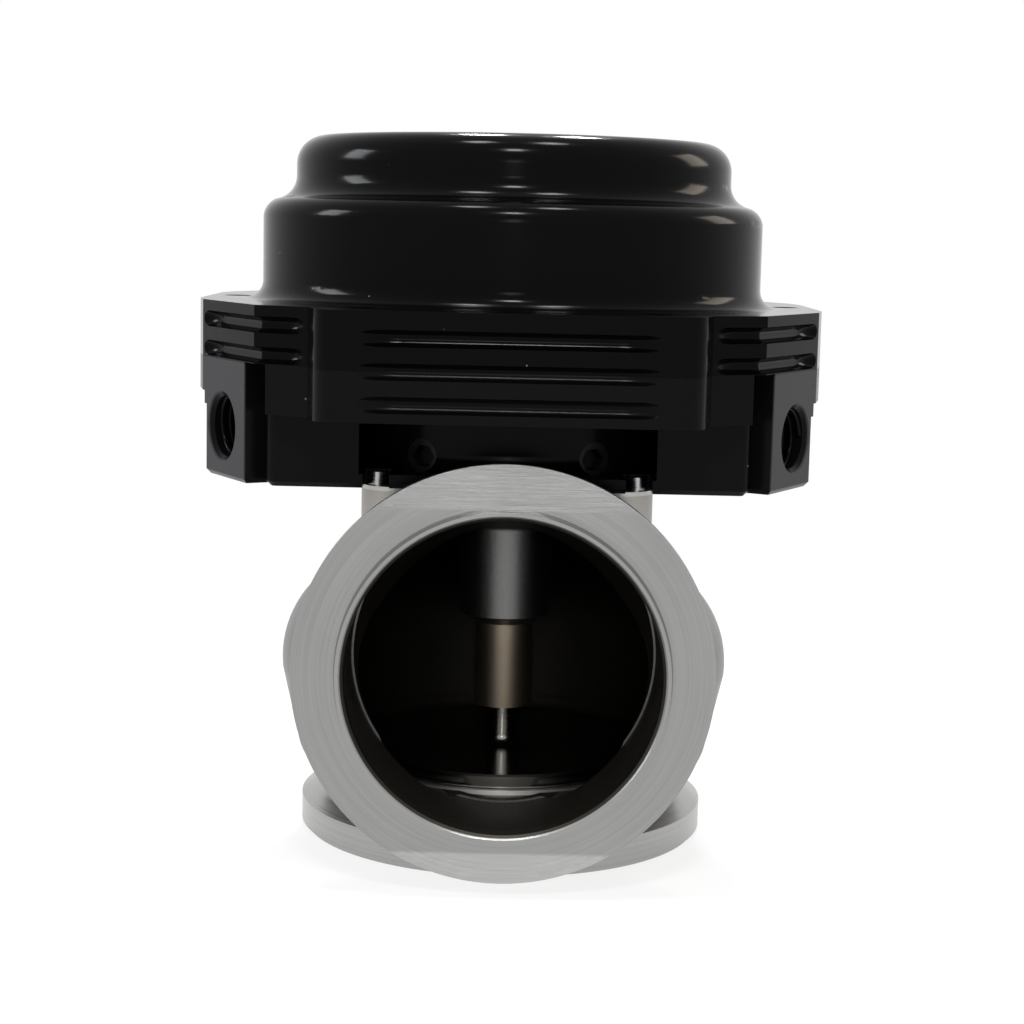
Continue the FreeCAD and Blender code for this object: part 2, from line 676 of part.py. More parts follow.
def plug_tools(azimuth):
    """Threaded seat of a gallery plug and the drilling that it closes."""
    bottom = HUB_R - PLUG_RECESS - PLUG_LENGTH - 0.4
    return [radial_hole(azimuth, PLUG_Z, PLUG_R + THREAD_CLEARANCE, bottom, HUB_R + 3),
            radial_hole(azimuth, PLUG_Z, PLUG_DRILL_R, GALLERY_OUT_R - 1.5, bottom + 1)]


def front_pocket():
    """Recess in the front wall that bares the hub, with a fillet where the hub meets its foot."""
    floor = HOUSING_BOTTOM + FOOT_T
    box = Part.makeBox(2 * POCKET_HALF_X, FRONT_WALL + 2, LOWER_FLANGE_BOTTOM - floor,
                       Vector(-POCKET_HALF_X, -FRONT_WALL - 2, floor))
    bend = (HUB_R + HUB_FILLET * 0.293, floor + HUB_FILLET * 0.293)
    hub = turned((0, floor - 1), (HUB_R + HUB_FILLET, floor - 1), (HUB_R + HUB_FILLET, floor),
                 (bend, (HUB_R, floor + HUB_FILLET)), (HUB_R, SPLIT), (0, SPLIT))
    return box.cut(hub)


def dowel_slots():
    """Slots in the bottom edge of the front wall that take the two dowels."""
    top = HOUSING_BOTTOM + DOWEL_SLOT_H
    length = FRONT_WALL + 1 - DOWEL_Y + DOWEL_R + 0.2
    return [Part.makeBox(2 * DOWEL_SLOT_HALF, length, top - HOUSING_BOTTOM + 1,
                         Vector(side * DOWEL_X - DOWEL_SLOT_HALF, -FRONT_WALL - 1, HOUSING_BOTTOM - 1))
            for side in (-1, 1)]


def housing_block():
    """Lower housing before drilling: flange, walls and port blocks."""
    rim = prism(lower_flange_outline(0.0), PORT_BLOCK_STEP, SPLIT)
    narrower = prism(lower_flange_outline(PORT_BLOCK_INSET), LOWER_FLANGE_BOTTOM, PORT_BLOCK_STEP)
    block = prism(lower_block_outline(), HOUSING_BOTTOM, LOWER_FLANGE_BOTTOM)
    return chamfer_rims(block, HOUSING_BOTTOM, EDGE_CHAMFER).multiFuse([narrower, rim]).removeSplitter()


def stem_bore_tools():
    """Stepped bore on the valve axis for bush, ring and retainer."""
    ring_z = HOUSING_BOTTOM + BUSH_H
    return [upright(STEM_R + 1.2, HOUSING_BOTTOM - 1, CHAMBER_FLOOR + 1),
            upright(BUSH_R, HOUSING_BOTTOM, ring_z),
            upright(BUSH_R, ring_z, CHAMBER_FLOOR - RETAINER_H),
            upright(RETAINER_R, CHAMBER_FLOOR - RETAINER_H, CHAMBER_FLOOR)]


def lower_housing():
    """Water-cooled lower half of the actuator housing."""
    gallery_top = HOUSING_BOTTOM + GALLERY_DEPTH
    gallery = upright(GALLERY_OUT_R, HOUSING_BOTTOM - 1, gallery_top).cut(
        upright(GALLERY_IN_R, HOUSING_BOTTOM - 2, gallery_top + 1))
    recess_r = DIAPHRAGM_R + SEAL_CLEARANCE
    tools = [upright(WELL_R, CHAMBER_FLOOR, SPLIT + 1), upright(CHAMBER_R, WELL_TOP, SPLIT + 1),
             upright(recess_r, SPLIT - DIAPHRAGM_T / 2, SPLIT + 1), gallery, front_pocket()]
    tools += stem_bore_tools() + dowel_slots() + port_drillings()
    for azimuth in PORT_AZIMUTHS:
        tools += port_tools(azimuth)
    for azimuth in (PLUG_AZIMUTH, -PLUG_AZIMUTH):
        tools += plug_tools(azimuth)
    for p in body_screw_places():
        tools += [upright(M5["shank_r"] + HOLE_CLEARANCE, HOUSING_BOTTOM - 1, CHAMBER_FLOOR, p.x, p.y),
                  upright(M5["head_r"] + 0.15, HOUSING_BOTTOM + BODY_SCREW_LUG, WELL_TOP + 1, p.x, p.y)]
    for azimuth in COVER_SCREW_AZIMUTHS:
        p = polar(azimuth, PITCH_R)
        tools += [upright(M4["shank_r"] + HOLE_CLEARANCE, HOUSING_BOTTOM, SPLIT + 1, p.x, p.y),
                  upright(M4["head_r"] + 0.3, HOUSING_BOTTOM, SPLIT - COVER_SCREW_SEAT, p.x, p.y)]
    tools += lobe_grooves((SPLIT, SPLIT - GROOVE_PITCH))
    return cut_all(housing_block(), tools)


def coolant_plugs():
    """Two socket plugs that close the gallery drillings."""
    socket = hexagon(PLUG_SOCKET_AF, PLUG_LENGTH - 2.2, PLUG_LENGTH + 1)
    plug = upright(PLUG_R, 0, PLUG_LENGTH).cut(socket)
    inner = HUB_R - PLUG_RECESS - PLUG_LENGTH
    return [along_radius(plug, azimuth, inner, PLUG_Z) for azimuth in (PLUG_AZIMUTH, -PLUG_AZIMUTH)]


def stem_bush():
    """Bush that guides the stem in the lower housing."""
    inner = STEM_R + RUN_CLEARANCE
    z0, z1 = HOUSING_BOTTOM, HOUSING_BOTTOM + BUSH_H
    return turned((inner, z0 + 0.4), (inner + 0.4, z0), (BUSH_R, z0), (BUSH_R, z1), (inner, z1))


def stem_ring():
    """Rubber ring that seals the stem above its bush."""
    middle = STEM_R + RUN_CLEARANCE + RING_R
    z = HOUSING_BOTTOM + BUSH_H + RING_R
    ring = Part.makeTorus(middle, RING_R)
    ring.translate(Vector(0, 0, z))
    return ring


def ring_carrier():
    """Sleeve round the rubber ring, between the bush and its retainer."""
    z0, z1 = HOUSING_BOTTOM + BUSH_H, CHAMBER_FLOOR - RETAINER_H
    inner = STEM_R + RUN_CLEARANCE + 2 * RING_R
    return turned((inner, z0), (BUSH_R, z0), (BUSH_R, z1), (STEM_R + 0.6, z1), (STEM_R + 0.6, z1 - 0.5),
                  (inner, z1 - 0.5))


def ring_retainer():
    """Pressed disc that keeps the ring carrier in its bore."""
    return turned((STEM_R + 0.5, CHAMBER_FLOOR - RETAINER_H), (RETAINER_R, CHAMBER_FLOOR - RETAINER_H),
                  (RETAINER_R, CHAMBER_FLOOR), (STEM_R + 0.5, CHAMBER_FLOOR))


# ---- piston and springs ---------------------------------------------------------------------------

def diaphragm():
    """Rolling diaphragm: clamped rim, one upward loop, and a flat centre under the spring cup."""
    t = DIAPHRAGM_T
    z0, z1 = SPLIT - t / 2, SPLIT + t / 2
    wall_out = CAP_LOW_R - CAP_WALL - SEAL_CLEARANCE
    wall_in = CUP_R + SEAL_CLEARANCE
    centre = (wall_out + wall_in) / 2
    outer_r = (wall_out - wall_in) / 2
    inner_r = outer_r - t
    knee = LOOP_TOP - outer_r
    flat = CUP_Z - t
    hole = STEM_THREAD_R + 0.1
    return turned(
        (DIAPHRAGM_R, z0), (DIAPHRAGM_R, z1), (wall_out, z1), (wall_out, knee),
        ((centre, knee + outer_r), (wall_in, knee)), (wall_in, CUP_Z), (hole, CUP_Z), (hole, flat),
        (wall_in + t, flat), (wall_in + t, knee), ((centre, knee + inner_r), (wall_out - t, knee)),
        (wall_out - t, z0))


def lower_plate():
    """Plate under the diaphragm."""
    hole = STEM_THREAD_R + 0.1
    z0, z1 = LOWER_PLATE_Z, LOWER_PLATE_Z + LOWER_PLATE_T
    return turned((hole, z0), (LOWER_PLATE_R - 0.8, z0), (LOWER_PLATE_R, z0 + 0.8), (LOWER_PLATE_R, z1),
                  (hole, z1))


def spring_cup():
    """Piston above the diaphragm, which also seats both springs."""
    hole = STEM_THREAD_R + 0.1
    floor = CUP_Z + CUP_T
    inner = CUP_R - CUP_WALL
    return turned((hole, CUP_Z), (CUP_R - 1, CUP_Z), (CUP_R, CUP_Z + 1), (CUP_R, CUP_Z + CUP_H),
                  (inner, CUP_Z + CUP_H), (inner, floor), (CUP_RIB_R, floor), (CUP_RIB_R, floor + CUP_RIB_H),
                  (CUP_RIB_R - 1.5, floor + CUP_RIB_H), (CUP_RIB_R - 1.5, floor), (hole, floor))


def stem_washer():
    """Washer between the spring cup and the nut."""
    hole = STEM_THREAD_R + 0.1
    return turned((hole, SPRING_BOTTOM), (WASHER_R, SPRING_BOTTOM), (WASHER_R, SPRING_BOTTOM + WASHER_T),
                  (hole, SPRING_BOTTOM + WASHER_T))


def stem_nut():
    """Hexagon nut on the stem."""
    z0 = SPRING_BOTTOM + WASHER_T
    nut = hexagon(NUT_AF, z0, z0 + NUT_H)
    return nut.cut(upright(STEM_THREAD_R + THREAD_CLEARANCE, z0 - 1, z0 + NUT_H + 1))


def spring(mean_r, wire_r, turns):
    """Compression spring with ground ends between the cup and the roof of the cap."""
    inset = wire_r * (1 - GROUND)
    length = ROOF - SPRING_BOTTOM - 2 * inset
    path = Part.makeHelix(length / turns, length, mean_r)
    section = Part.Wire(Part.makePolygon([
        Vector(mean_r + wire_r * math.cos(math.radians(60 * i)), 0, wire_r * math.sin(math.radians(60 * i)))
        for i in range(7)]))
    coil = Part.Wire(path.Edges).makePipeShell([section], True, True)
    coil.translate(Vector(0, 0, SPRING_BOTTOM + inset))
    slab = upright(mean_r + 2 * wire_r, SPRING_BOTTOM, ROOF)
    return coil.common(slab)


# ---- cover and fasteners --------------------------------------------------------------------------

def cap_outside():
    """Turned outside of the cap: two drums joined by a shoulder and a waist."""
    low = (CAP_LOW_R - CAP_SHOULDER_R, CAP_SHOULDER_Z)
    across = CAP_HIGH_R + CAP_WAIST_R - low[0]
    reach = CAP_SHOULDER_R + CAP_WAIST_R
    waist = (low[0] + across, low[1] + math.sqrt(reach ** 2 - across ** 2))
    turn = math.degrees(math.atan2(waist[1] - low[1], across))
    tip = (CAP_HIGH_R - CAP_TOP_FILLET, CAP_TOP - CAP_TOP_FILLET)
    base = (CAP_LOW_R + CAP_BASE_FILLET, COVER_TOP + CAP_BASE_FILLET)
    return turned(
        (0, COVER_TOP - 1), (base[0], COVER_TOP - 1), (base[0], COVER_TOP),
        (arc_middle(base, CAP_BASE_FILLET, 225), (CAP_LOW_R, base[1])), (CAP_LOW_R, low[1]),
        (arc_middle(low, CAP_SHOULDER_R, turn / 2), arc_middle(low, CAP_SHOULDER_R, turn)),
        (arc_middle(waist, CAP_WAIST_R, 180 + turn / 2), (CAP_HIGH_R, waist[1])),
        (CAP_HIGH_R, tip[1]), (arc_middle(tip, CAP_TOP_FILLET, 45), (tip[0], CAP_TOP)), (0, CAP_TOP))


def cap_inside():
    """Spring space inside the cap."""
    low_r, high_r = CAP_LOW_R - CAP_WALL, CAP_HIGH_R - CAP_WALL
    step = CAP_SHOULDER_Z - 1
    return turned(
        (0, SPLIT - 1), (low_r, SPLIT - 1), (low_r, step), (high_r, step + low_r - high_r),
        (high_r, ROOF - 1.5), (high_r - 1.5, ROOF), (0, ROOF))


def top_port(radius, inner, outer):
    """Cylinder on the axis of the upper air port, at the back of the cap."""
    return radial_hole(180, COVER_TOP + TOP_PORT_BOSS_R, radius, inner, outer)


def cover():
    """Cover: faceted rim and turned cap in one piece."""
    rim = prism(cover_outline(), SPLIT, COVER_TOP)
    boss = top_port(TOP_PORT_BOSS_R, CAP_LOW_R - CAP_WALL, TOP_PORT_FACE)
    solid = rim.multiFuse([cap_outside(), boss])
    recess_r = DIAPHRAGM_R + SEAL_CLEARANCE
    tools = [cap_inside(), upright(recess_r, SPLIT - 1, SPLIT + DIAPHRAGM_T / 2),
             top_port(TOP_PORT_R, CAP_LOW_R - 2 * CAP_WALL, TOP_PORT_FACE + 1)]
    for azimuth in COVER_SCREW_AZIMUTHS:
        p = polar(azimuth, PITCH_R)
        tools.append(upright(M4["shank_r"] + THREAD_CLEARANCE, SPLIT - 1, CAP_SHOULDER_Z - 2, p.x, p.y))
    tools += lobe_grooves((SPLIT, SPLIT + GROOVE_PITCH))
    tools += facet_grooves(SPLIT + FACET_GROOVE_RISE)
    tools += facet_grooves(SPLIT + FACET_GROOVE_RISE + FACET_GROOVE_PITCH)
    return cut_all(solid, tools)


def socket_screw(size, length):
    """Socket screw standing head down: head from zero upwards, then the shank."""
    top = size["head_h"]
    screw = turned((0, 0), (size["head_r"], 0), (size["head_r"], top), (size["shank_r"], top),
                   (size["shank_r"], top + length), (0, top + length))
    return screw.cut(hexagon(size["socket_af"], -1, size["socket_depth"]))


def cover_screws():
    """Six screws, put in from below, that hold the cover down."""
    top = COVER_TOP - COVER_SCREW_SHY
    seat = SPLIT - COVER_SCREW_SEAT
    screw = socket_screw(M4, top - seat)
    return [place(screw, azimuth, PITCH_R, seat - M4["head_h"]) for azimuth in COVER_SCREW_AZIMUTHS]


def body_screws():
    """Four screws, put in from inside the housing, that hold it to the exhaust body."""
    seat = HOUSING_BOTTOM + BODY_SCREW_LUG
    screw = socket_screw(M5, seat - PLATE_TOP + BODY_SCREW_BITE)
    screw.rotate(Vector(), Vector(1, 0, 0), 180)
    screws = []
    for p in body_screw_places():
        one = screw.copy()
        one.translate(Vector(p.x, p.y, seat + M5["head_h"]))
        screws.append(one)
    return screws


def dowels():
    """Two pins that clock the lower housing on the exhaust body."""
    z0, z1 = PLATE_TOP - DOWEL_BITE, HOUSING_BOTTOM + DOWEL_HEIGHT
    return [upright(DOWEL_R, z0, z1, side * DOWEL_X, -DOWEL_Y) for side in (-1, 1)]


# ---- export ---------------------------------------------------------------------------------------

def all_parts():
    """Every node by name; a list holds the separate solids of one node."""
    return {
        "valve_body": valve_body(),
        "valve_seat": valve_seat(),
        "valve": valve(),
        "valve_guide": valve_guide(),
        "housing_gasket": housing_gasket(),
        "locating_dowels": dowels(),
        "lower_housing": lower_housing(),
        "body_screws": body_screws(),
        "coolant_plugs": coolant_plugs(),
        "stem_bush": stem_bush(),
        "stem_ring": stem_ring(),
        "ring_carrier": ring_carrier(),
        "ring_retainer": ring_retainer(),
        "diaphragm": diaphragm(),
        "lower_plate": lower_plate(),
        "spring_cup": spring_cup(),
        "stem_washer": stem_washer(),
        "stem_nut": stem_nut(),
        "spring_outer": spring(OUTER_SPRING_R, OUTER_WIRE_R, OUTER_TURNS),
        "spring_inner": spring(INNER_SPRING_R, INNER_WIRE_R, INNER_TURNS),
        "cover": cover(),
        "cover_screws": cover_screws(),
    }


def main():
    """Write one STEP file for each node."""
    os.makedirs("parts", exist_ok=True)
    for name, shape in all_parts().items():
        whole = Part.makeCompound(shape) if isinstance(shape, list) else shape
        if len(whole.Solids) == 1 and not isinstance(shape, list):
            whole = whole.Solids[0]
        whole.exportStep("parts/" + name + ".step")
        box = whole.BoundBox
        print(f"{name:16s} solids {len(whole.Solids)} valid {whole.isValid()} "
              f"volume {whole.Volume:9.1f} z {box.ZMin:6.2f} to {box.ZMax:6.2f}")


main()
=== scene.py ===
"""Finishes, threads, light and camera for the water-cooled V-band wastegate.

Lengths are metres unless a class says millimetres; the valve axis is Z and the outlet points along -Y.
The heights and radii below repeat the sizes of the solids, so that a finish changes where the real
surface changes.
"""
import json
import logging
import math
from dataclasses import dataclass, field
from enum import Enum
from typing import Any, Optional, Sequence, Union

import bpy
import numpy as np
from mathutils import Matrix, Vector


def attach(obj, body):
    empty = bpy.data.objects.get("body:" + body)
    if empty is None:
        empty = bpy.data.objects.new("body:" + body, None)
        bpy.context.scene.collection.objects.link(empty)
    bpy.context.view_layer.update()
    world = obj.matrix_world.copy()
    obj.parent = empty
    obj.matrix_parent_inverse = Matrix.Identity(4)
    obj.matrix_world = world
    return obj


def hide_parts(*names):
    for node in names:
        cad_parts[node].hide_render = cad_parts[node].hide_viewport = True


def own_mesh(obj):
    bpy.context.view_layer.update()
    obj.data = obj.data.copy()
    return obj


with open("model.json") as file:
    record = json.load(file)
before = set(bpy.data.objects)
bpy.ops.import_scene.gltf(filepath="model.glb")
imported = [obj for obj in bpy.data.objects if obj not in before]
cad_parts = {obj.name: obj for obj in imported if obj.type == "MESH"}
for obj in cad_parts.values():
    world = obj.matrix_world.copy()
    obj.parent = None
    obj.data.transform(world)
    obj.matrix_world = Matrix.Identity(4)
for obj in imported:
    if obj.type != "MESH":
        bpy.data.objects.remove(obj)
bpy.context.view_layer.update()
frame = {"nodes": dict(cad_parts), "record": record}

MM = 0.001
LOG = logging.getLogger("wastegate")

Number = Union[float, "Value"]
Colour = Union[Sequence[float], "Value"]


# ---- shader maths ---------------------------------------------------------------------------------

class Value:
    """A number that varies over a surface, which ordinary arithmetic can be written on."""

    def __init__(self, tree: "Tree", socket: bpy.types.NodeSocket) -> None:
        """Hold a socket of a tree."""
        self.tree = tree
        self.socket = socket

    def _math(self, operation: str, *others: Number) -> "Value":
        """Add a Math node whose first value is this one.

        Args:
            operation: Name of the node's operation.
            others: The other values, in order.

        Returns:
            The node's result.
        """
        inputs = dict(enumerate((self, *others)))
        return self.tree.node("ShaderNodeMath", {"operation": operation}, inputs)

    def __add__(self, other: Number) -> "Value":
        """Sum of the two."""
        return self._math("ADD", other)

    def __radd__(self, other: float) -> "Value":
        """Sum of the two."""
        return self._math("ADD", other)

    def __sub__(self, other: Number) -> "Value":
        """This less the other."""
        return self._math("SUBTRACT", other)

    def __rsub__(self, other: float) -> "Value":
        """The other less this."""
        return self.tree.node("ShaderNodeMath", {"operation": "SUBTRACT"}, {0: other, 1: self})

    def __mul__(self, other: Number) -> "Value":
        """Product of the two."""
        return self._math("MULTIPLY", other)

    def __rmul__(self, other: float) -> "Value":
        """Product of the two."""
        return self._math("MULTIPLY", other)

    def __truediv__(self, other: Number) -> "Value":
        """This over the other."""
        return self._math("DIVIDE", other)

    def __abs__(self) -> "Value":
        """Size without its sign."""
        return self._math("ABSOLUTE")

    def root(self) -> "Value":
        """Square root."""
        return self._math("SQRT")

    def least(self, other: Number) -> "Value":
        """The smaller of the two."""
        return self._math("MINIMUM", other)

    def most(self, other: Number) -> "Value":
        """The larger of the two."""
        return self._math("MAXIMUM", other)

    def rise(self, low: float, high: float) -> "Value":
        """Nought below low, one above high, and a smooth step between them.

        Args:
            low: Where the step starts.
            high: Where it ends; below low for a falling step.

        Returns:
            The step.
        """
        flipped = high < low
        a, b = (high, low) if flipped else (low, high)
        step = self.tree.node("ShaderNodeMapRange", {"interpolation_type": "SMOOTHSTEP"},
                              {"Value": self, "From Min": a, "From Max": b})
        return 1 - step if flipped else step

    def between(self, low: float, high: float, edge: float) -> "Value":
        """One from low to high, with a soft edge of the given width outside them."""
        return self.rise(low - edge, low) * self.rise(high + edge, high)


class Tree:
    """The nodes of one material or of the world."""

    def __init__(self, nodes: bpy.types.NodeTree) -> None:
        """Start from an empty tree."""
        self.nodes = nodes
        self.nodes.nodes.clear()
        self._point: Optional[Value] = None

    def node(self, kind: str, settings: Optional[dict[str, Any]] = None,
             inputs: Optional[dict[Any, Any]] = None, output: Any = 0) -> Value:
        """Add a node.

        Args:
            kind: Blender's name of the node's type.
            settings: Properties of the node, set before its sockets.
            inputs: Values or links of its sockets, by name or number.
            output: Which socket is handed back.

        Returns:
            The chosen output.
        """
        made = self.nodes.nodes.new(kind)
        for name, setting in (settings or {}).items():
            setattr(made, name, setting)
        for name, given in (inputs or {}).items():
            self._feed(made.inputs[name], given)
        return Value(self, made.outputs[output]) if made.outputs else Value(self, made.inputs[0])

    def _feed(self, socket: bpy.types.NodeSocket, given: Any) -> None:
        """Link a value to a socket, or set the socket's own number or colour."""
        if isinstance(given, Value):
            self.nodes.links.new(given.socket, socket)
        elif isinstance(given, (tuple, list)) and socket.type == "RGBA" and len(given) == 3:
            socket.default_value = (*given, 1.0)
        else:
            socket.default_value = given

    def point(self) -> Value:
        """Place on the piece, in metres."""
        if self._point is None:
            self._point = self.node("ShaderNodeTexCoord", output="Object")
        return self._point

    def parts(self, vector: Value) -> tuple[Value, Value, Value]:
        """The three numbers of a vector."""
        split = self.node("ShaderNodeSeparateXYZ", inputs={0: vector})
        outputs = split.socket.node.outputs
        return Value(self, outputs[0]), Value(self, outputs[1]), Value(self, outputs[2])

    def axes(self) -> tuple[Value, Value, Value]:
        """The three coordinates of the place on the piece."""
        return self.parts(self.point())

    def facing(self) -> tuple[Value, Value, Value]:
        """The three numbers of the direction that the surface faces."""
        return self.parts(self.node("ShaderNodeTexCoord", output="Normal"))

    def noise(self, scale: float, detail: float = 3.0, roughness: float = 0.5,
              vector: Optional[Value] = None) -> Value:
        """Cloudy noise between nought and one.

        Args:
            scale: Lumps per metre.
            detail: How many finer layers it has.
            roughness: How strong the finer layers are.
            vector: Where it is read; the place on the piece by default.

        Returns:
            The noise.
        """
        return self.node("ShaderNodeTexNoise", {"noise_dimensions": "3D"}, {
            "Vector": vector or self.point(), "Scale": scale, "Detail": detail, "Roughness": roughness})

    def vector(self, x: Number, y: Number, z: Number) -> Value:
        """Join three numbers into a vector."""
        return self.node("ShaderNodeCombineXYZ", inputs={0: x, 1: y, 2: z})

    def mix(self, share: Number, first: Colour, second: Colour) -> Value:
        """Colour that goes from the first to the second as the share goes from nought to one."""
        return self.node("ShaderNodeMix", {"data_type": "RGBA"}, {0: share, 6: first, 7: second}, output=2)

    def specks(self, scale: float, size: float) -> Value:
        """Small round specks, one at each cell centre, as dust lies on a surface.

        Args:
            scale: Cells per metre.
            size: Radius of a speck as a share of a cell.

        Returns:
            One inside a speck, nought elsewhere.
        """
        cell = self.node("ShaderNodeTexVoronoi", {"feature": "F1"}, {"Vector": self.point(), "Scale": scale})
        return cell.rise(size, size * 0.5)


# ---- finishes -------------------------------------------------------------------------------------

@dataclass
class Look:
    """What a finish says about a surface."""

    colour: Colour
    roughness: Number
    metallic: Number = 1.0
    height: Optional[Value] = None
    depth: float = 0.00002


@dataclass(frozen=True)
class Finish:
    """A finish with one shader; a subclass says how it varies over the surface."""

    name: str
    specular: float = 0.5

    def paint(self, tree: Tree) -> Look:
        """Say how colour, roughness and height vary."""
        raise NotImplementedError

    def material(self) -> bpy.types.Material:
        """Make the material.

        Returns:
            A material with one Principled shader.
        """
        made = bpy.data.materials.new(self.name)
        made.use_nodes = True
        tree = Tree(made.node_tree)
        look = self.paint(tree)
        inputs: dict[Any, Any] = {
            "Base Color": look.colour, "Roughness": look.roughness, "Metallic": look.metallic,
            "Specular IOR Level": self.specular}
        if look.height is not None:
            inputs["Normal"] = tree.node("ShaderNodeBump", inputs={
                "Height": look.height, "Distance": look.depth, "Strength": 1.0})
        shader = tree.node("ShaderNodeBsdfPrincipled", inputs=inputs)
        tree.node("ShaderNodeOutputMaterial", inputs={"Surface": shader})
        return made


@dataclass(frozen=True)
class ExhaustSteel(Finish):
    """Stainless exhaust body: turned flanges, milled flat and plate, satin bulb, gas space darkened with
    painted shade.
    """

    outlet_z: float = 31.6 * MM
    face_y: float = -39.2 * MM
    flat_z: float = 23.4 * MM
    plate_low: float = 51.1 * MM
    plate_front: float = -31.5 * MM
    rim_top: float = 5.9 * MM
    bore_r: float = 22.6 * MM
    bore_end: float = -9.0 * MM
    core_r: float = 18.8 * MM
    room_low: float = 9.0 * MM
    room_high: float = 48.6 * MM
    core_high: float = 50.0 * MM
    boss_r: float = 7.8 * MM
    boss_low: float = 31.5 * MM
    edge: float = 0.3 * MM
    line: float = 0.05 * MM
    cast: tuple[float, float, float] = (0.17, 0.17, 0.168)
    face: tuple[float, float, float] = (0.30, 0.30, 0.296)
    # The flat is darker than the face partly because of its milled tone and partly as painted shade that
    # holds down the lamp reflection on this upward-tilted facet.
    flat: tuple[float, float, float] = (0.24, 0.24, 0.236)
    inlet: tuple[float, float, float] = (0.36, 0.36, 0.35)
    plate: tuple[float, float, float] = (0.34, 0.325, 0.30)
    # Painted shade: a near-black colour for the passage and chamber walls, standing in for the shade inside
    # the body.
    painted_interior_shade: tuple[float, float, float] = (0.035, 0.033, 0.028)

    def paint(self, tree: Tree) -> Look:
        """Rings about the outlet on its face, lines along the flat, rings about Z on the inlet flange."""
        x, y, z = tree.axes()
        above = z - self.outlet_z
        from_outlet = (x * x + above * above).root()
        from_axis = (x * x + y * y).root()
        face = y.rise(self.face_y + self.edge, self.face_y)
        flat = face * above.rise(self.flat_z - self.line, self.flat_z + self.line)
        inlet = z.rise(self.rim_top + 2 * self.edge, self.rim_top)
        plate = (z.rise(self.plate_low - self.edge, self.plate_low)
                 * y.rise(self.plate_front - self.edge, self.plate_front))
        inside = self._gas_space(tree, from_outlet, from_axis)
        grain = self._grain(tree, from_outlet, from_axis, face, flat, inlet)
        shade = 0.8 + grain * 0.3 + tree.noise(70, 3.0) * 0.12
        body = tree.mix(face, self.cast, self.face)
        body = tree.mix(flat, body, self.flat)
        body = tree.mix(inlet, body, self.inlet)
        body = tree.mix(plate, body, self.plate)
        # Painted shade: the gas space is darkened towards the near-black colour.
        dark = tree.mix(inside, body, self.painted_interior_shade)
        colour = tree.node("ShaderNodeMix", {"data_type": "RGBA", "blend_type": "MULTIPLY"},
                           {0: 1.0, 6: dark, 7: tree.vector(shade, shade, shade)}, output=2)
        rough = 0.40 - face * 0.08 - inlet * 0.1 + inside * 0.14 + (grain - 0.5) * 0.15
        return Look(colour, rough, 1.0, grain, 0.03 * MM)

    @staticmethod
    def _grain(tree: Tree, from_outlet: Value, from_axis: Value, face: Value, flat: Value,
               inlet: Value) -> Value:
        """Tool marks where the body is turned or milled, and cast grain elsewhere.

        Args:
            tree: Where the nodes go.
            from_outlet: Distance from the outlet's axis.
            from_axis: Distance from the valve axis.
            face: One on the outlet's face.
            flat: One on the flat of that face.
            inlet: One on the inlet flange.

        Returns:
            The grain.
        """
        x, y, z = tree.axes()
        rings = tree.noise(1.0, 2.0, vector=tree.vector(from_outlet * 2600, x * 30, z * 30))
        lines = tree.noise(1.0, 2.0, vector=tree.vector(x * 60, y * 400, z * 9000))
        turned = tree.noise(1.0, 2.0, vector=tree.vector(from_axis * 2200, z * 2600, x * 20))
        cast = tree.noise(1500, 4.0, 0.6)
        return rings * (1 - flat) * face + lines * flat + turned * inlet + (1 - face) * (1 - inlet) * cast

    def _gas_space(self, tree: Tree, from_outlet: Value, from_axis: Value) -> Value:
        """Where the surface belongs to the passage or the chamber, boss left out; this is where the painted
        shade goes.

        The walls of the gas space are those that face the valve axis or the outlet's axis.
        """
        x, y, z = tree.axes()
        nx, ny, nz = tree.facing()
        tiny = 0.01 * MM
        to_axis = (nx * x + ny * y) / (from_axis + tiny)
        to_outlet = (nx * x + nz * (z - self.outlet_z)) / (from_outlet + tiny)
        mouth = y.rise(self.bore_end + 4 * self.line, self.bore_end - 4 * self.line)
        bore = to_outlet.rise(-0.3, -0.6) * from_outlet.rise(self.bore_r + 3 * self.line, self.bore_r) * mouth
        room = to_axis.rise(-0.3, -0.5) * z.between(self.room_low, self.room_high, 2 * self.line)
        core = (from_axis.rise(self.core_r + 4 * self.line, self.core_r)
                * z.between(self.room_low, self.core_high, 2 * self.line))
        boss = (from_axis.rise(self.boss_r + 4 * self.line, self.boss_r - 4 * self.line)
                * z.rise(self.boss_low - 10 * self.line, self.boss_low + 10 * self.line))
        return (bore.most(room).most(core) * (1 - boss)).least(1.0)


@dataclass(frozen=True)
class Turned(Finish):
    """Metal turned about the valve axis, with fine rings."""

    colour: tuple[float, float, float] = (0.45, 0.44, 0.42)
    roughness: float = 0.3
    rings: float = 2600.0

    def paint(self, tree: Tree) -> Look:
        """Rings whose height is a noise of radius and height."""
        x, y, z = tree.axes()
        radius = (x * x + y * y).root()
        rings = tree.noise(1.0, 2.0, vector=tree.vector(radius * self.rings, z * self.rings, x * 20))
        clouds = tree.noise(110, 3.0)
        low = tuple(0.8 * c for c in self.colour)
        colour = tree.mix(rings * 0.6 + clouds * 0.4, low, self.colour)
        return Look(colour, self.roughness + (rings - 0.5) * 0.12, 1.0, rings, 0.000015)


